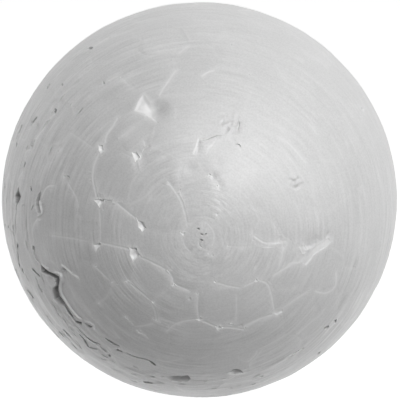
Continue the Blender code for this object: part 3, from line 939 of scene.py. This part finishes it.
def foamMaterial():
    material = bpy.data.materials.new("beadFoam")
    material.use_nodes = True
    tree = material.node_tree

    def calc(operation, *values):
        return addNode(tree, "Math", dict(enumerate(values)), operation=operation)[0]

    def times(first, second):
        return calc("MULTIPLY", first, second)

    def noiseOf(where, scale, detail):
        return addNode(tree, "TexNoise", {"Vector": where, "Scale": scale, "Detail": detail})["Fac"]

    def blend(share, first, second):
        return addNode(tree, "Mix", {"Factor": share, 6: first, 7: second}, data_type="RGBA")[2]

    # rings: a noise that changes finely along the arc from the turning axis, and slowly round it
    where = addNode(tree, "TexCoord", {})["Object"]
    x, y, z = addNode(tree, "SeparateXYZ", {0: where})
    level = calc("SQRT", calc("ADD", times(x, x), times(z, z)))
    arc = times(calc("ARCTAN2", level, calc("ABSOLUTE", y)), ballRadius)
    roundAxis = [times(calc("DIVIDE", value, level), foamFinish["ringBreaks"]) for value in (x, z)]

    def ringNoise(perMetre):
        place = dict(enumerate((times(arc, perMetre), *roundAxis)))
        return noiseOf(addNode(tree, "CombineXYZ", place)[0], 1, foamFinish["ringDetail"])

    rings = ringNoise(foamFinish["ringsPerMetre"])
    broad = ringNoise(foamFinish["broadRingsPerMetre"])
    patch = noiseOf(where, foamFinish["ringPatch"], foamFinish["patchDetail"])
    strength = rangeOf(tree, patch, foamFinish["patchShares"])
    side = {0: where, 1: foamFinish["ringFadeSide"]}
    across = addNode(tree, "VectorMath", side, operation="DOT_PRODUCT")["Value"]
    reach = (foamFinish["ringFadeFrom"] * ballRadius, ballRadius)
    ringShare = times(strength, rangeOf(tree, across, reach + foamFinish["ringFadeShares"]))
    outward = calc("POWER", calc("DIVIDE", level, ballRadius), 2)
    fineRings = times(rings, foamFinish["ringHeight"])
    broadRings = times(times(broad, outward), foamFinish["broadRingHeight"])
    ringHeight = times(calc("ADD", fineRings, broadRings), ringShare)
    cells = noiseOf(where, foamFinish["cellScale"], foamFinish["cellDetail"])
    height = calc("ADD", ringHeight, times(cells, foamFinish["cellHeight"]))

    def toneOf(value, share):
        # lighter and darker about the middle of a noise
        return times(calc("SUBTRACT", value, 0.5), share)

    # colour: grey-white cut faces with painted light and shade along the tool rings, whiter seams, hollows
    # whiter with bead skin and painted light, and painted shade in the gaps
    names = ("face", "seam", "hollow", "paintedShade")
    face, seamShare, hollow, paintedShade = (addNode(tree, "Attribute", {}, attribute_name=n)["Fac"] for n in names)
    faces = blend(face, *(grey(foamFinish["white"] * share) for share in foamFinish["faceTones"]))
    # painted light and shade of the tool rings, stronger towards the outline and away from the light
    broadRingShade = times(toneOf(broad, foamFinish["broadPaintedRingShade"]), outward)
    paintedRingShade = times(calc("ADD", toneOf(rings, foamFinish["paintedRingShade"]), broadRingShade), ringShare)
    spots = calc("ADD", toneOf(cells, foamFinish["cellTone"]), toneOf(patch, foamFinish["patchTone"]))
    toneAndRingShade = calc("ADD", calc("ADD", paintedRingShade, spots), 1)
    tonedAndRingShaded = addNode(tree, "VectorMath", {0: faces, "Scale": toneAndRingShade}, operation="SCALE")[0]
    # whiter seams, and hollows whitened partly by painted light
    whitenedAndLit = blend(calc("MAXIMUM", seamShare, hollow), tonedAndRingShaded, grey(foamFinish["seamWhiteAndHollowLight"]))

    fillInputs(tree, tree.nodes["Principled BSDF"], {
        **foamFinish["shader"],
        "Tangent": addNode(tree, "Tangent", {}, direction_type="RADIAL", axis="Y")["Tangent"],
        # the grey of the gaps between beads is painted shade
        "Base Color": blend(paintedShade, whitenedAndLit, grey(foamFinish["paintedShadeGrey"])),
        "Normal": addNode(tree, "Bump", {"Strength": 1, "Distance": 1, "Height": height})["Normal"],
    })
    return material


ball = makeBall()
ball.data.materials.append(foamMaterial())

studio = {
    "elevation": 10,
    "azimuth": 0,
    "lens": 180,
    "sensor": 36,
    "outlineRadius": 197.6,  # pixels, of the photograph's 400
    "outlineCentre": (199.4, 199.8),
    "frame": 400,
    "floorSize": 3,
    "floorWhite": 0.5,
    "floorRoughness": 0.9,
    "floorGlow": 0.83,
}


def lookAtBall(item, azimuth, elevation, distance):
    # puts a camera or a lamp at angles seen from the ball, in degrees
    around, up = math.radians(azimuth), math.radians(elevation)
    back = Vector((math.sin(around) * math.cos(up), -math.cos(around) * math.cos(up), math.sin(up)))
    item.location = ballCentre + back * distance
    item.rotation_euler = back.to_track_quat("Z", "Y").to_euler()
    bpy.context.scene.collection.objects.link(item)


def makeCamera():
    data = bpy.data.cameras.new("camera")
    data.lens = studio["lens"]
    data.sensor_width = studio["sensor"]
    data.clip_start = 0.01
    camera = bpy.data.objects.new("camera", data)
    focal = studio["frame"] * data.lens / data.sensor_width
    distance = ballRadius / math.sin(math.atan(studio["outlineRadius"] / focal))
    lookAtBall(camera, studio["azimuth"], studio["elevation"], distance)
    middle = studio["frame"] / 2
    data.shift_x = (middle - studio["outlineCentre"][0]) / studio["frame"]
    data.shift_y = (studio["outlineCentre"][1] - middle) / studio["frame"]
    bpy.context.scene.camera = camera


def seenShare(tree):
    # one for what the camera sees, directly, in gloss or through glass
    rays = addNode(tree, "LightPath", {})
    share = rays["Is Camera Ray"]
    for ray in ("Is Glossy Ray", "Is Transmission Ray"):
        share = addNode(tree, "Math", {0: share, 1: rays[ray]}, operation="MAXIMUM")[0]
    return share


def floorMaterial():
    material = bpy.data.materials.new("whiteFloor")
    material.use_nodes = True
    tree = material.node_tree
    white = tree.nodes["Principled BSDF"]
    fillInputs(tree, white, {
        "Base Color": grey(studio["floorWhite"]),
        "Roughness": studio["floorRoughness"],
        "Specular IOR Level": 0,
        "Emission Color": grey(1),
        "Emission Strength": studio["floorGlow"],
    })
    clear = addNode(tree, "BsdfTransparent", {})[0]
    mix = addNode(tree, "MixShader", {0: seenShare(tree), 1: clear, 2: white.outputs[0]})[0]
    tree.links.new(mix, tree.nodes["Material Output"].inputs["Surface"])
    return material


def makeFloor():
    bm = bmesh.new()
    bmesh.ops.create_grid(bm, x_segments=1, y_segments=1, size=studio["floorSize"] / 2)
    bmesh.ops.translate(bm, verts=bm.verts, vec=(0, 0, ballLow.z))
    floor = pieceOf("floor", bm)
    floor.data.materials.append(floorMaterial())


# Each lamp's azimuth and elevation in degrees, distance and size in metres, and power in watts.
lamps = {
    "key": (45, 40, 0.5, 0.42, 0.72),
    "high": (0, 40, 0.5, 0.25, 0.44),
    "near": (22, 22, 0.5, 0.16, 0.51),
    "side": (60, 10, 0.5, 0.25, 0.42),
    "top": (-45, 45, 0.6, 0.8, 0.17),
    "left": (-110, 10, 0.6, 0.5, 0.33),
    "lowLeft": (-135, -35, 0.6, 0.5, 0.85),
    "lowBack": (180, -50, 0.6, 0.5, 1.35),
}
# How bright the white surroundings are, from straight ahead of the ball's face to straight behind.
surroundings = {
    "strength": 2.6,
    "stops": ((0.6, 0), (0.7, 0), (0.8, 1), (0.9, 0.03)),
}


def makeLamps():
    for name, (azimuth, elevation, distance, size, watts) in lamps.items():
        data = bpy.data.lights.new(name, "AREA")
        data.shape = "SQUARE"
        data.size = size
        data.energy = watts
        lookAtBall(bpy.data.objects.new(name, data), azimuth, elevation, distance)


def makeSurroundings():
    world = bpy.data.worlds.new("surroundings")
    bpy.context.scene.world = world
    world.use_nodes = True
    tree = world.node_tree
    where = addNode(tree, "TexCoord", {})["Generated"]
    y = addNode(tree, "SeparateXYZ", {0: where})["Y"]
    ramp = tree.nodes.new("ShaderNodeValToRGB")
    fillInputs(tree, ramp, {0: rangeOf(tree, y, (-1,))})
    stops = ramp.color_ramp.elements
    while len(stops) < len(surroundings["stops"]):
        stops.new(0.5)
    for stop, (place, level) in zip(stops, surroundings["stops"]):
        stop.position = place
        stop.color = grey(level)
    levels = {0: ramp.outputs["Color"], 1: surroundings["strength"]}
    light = addNode(tree, "Math", levels, operation="MULTIPLY")[0]
    seen = addNode(tree, "Mix", {"Factor": seenShare(tree), "A": light, "B": 1})["Result"]
    fillInputs(tree, tree.nodes["Background"], {"Color": grey(1), "Strength": seen})


print("foam finish made")
makeCamera()
makeFloor()
makeLamps()
makeSurroundings()
print("camera, floor and", len(lamps), "lamps placed")
bpy.context.scene.view_settings.view_transform = "Standard"
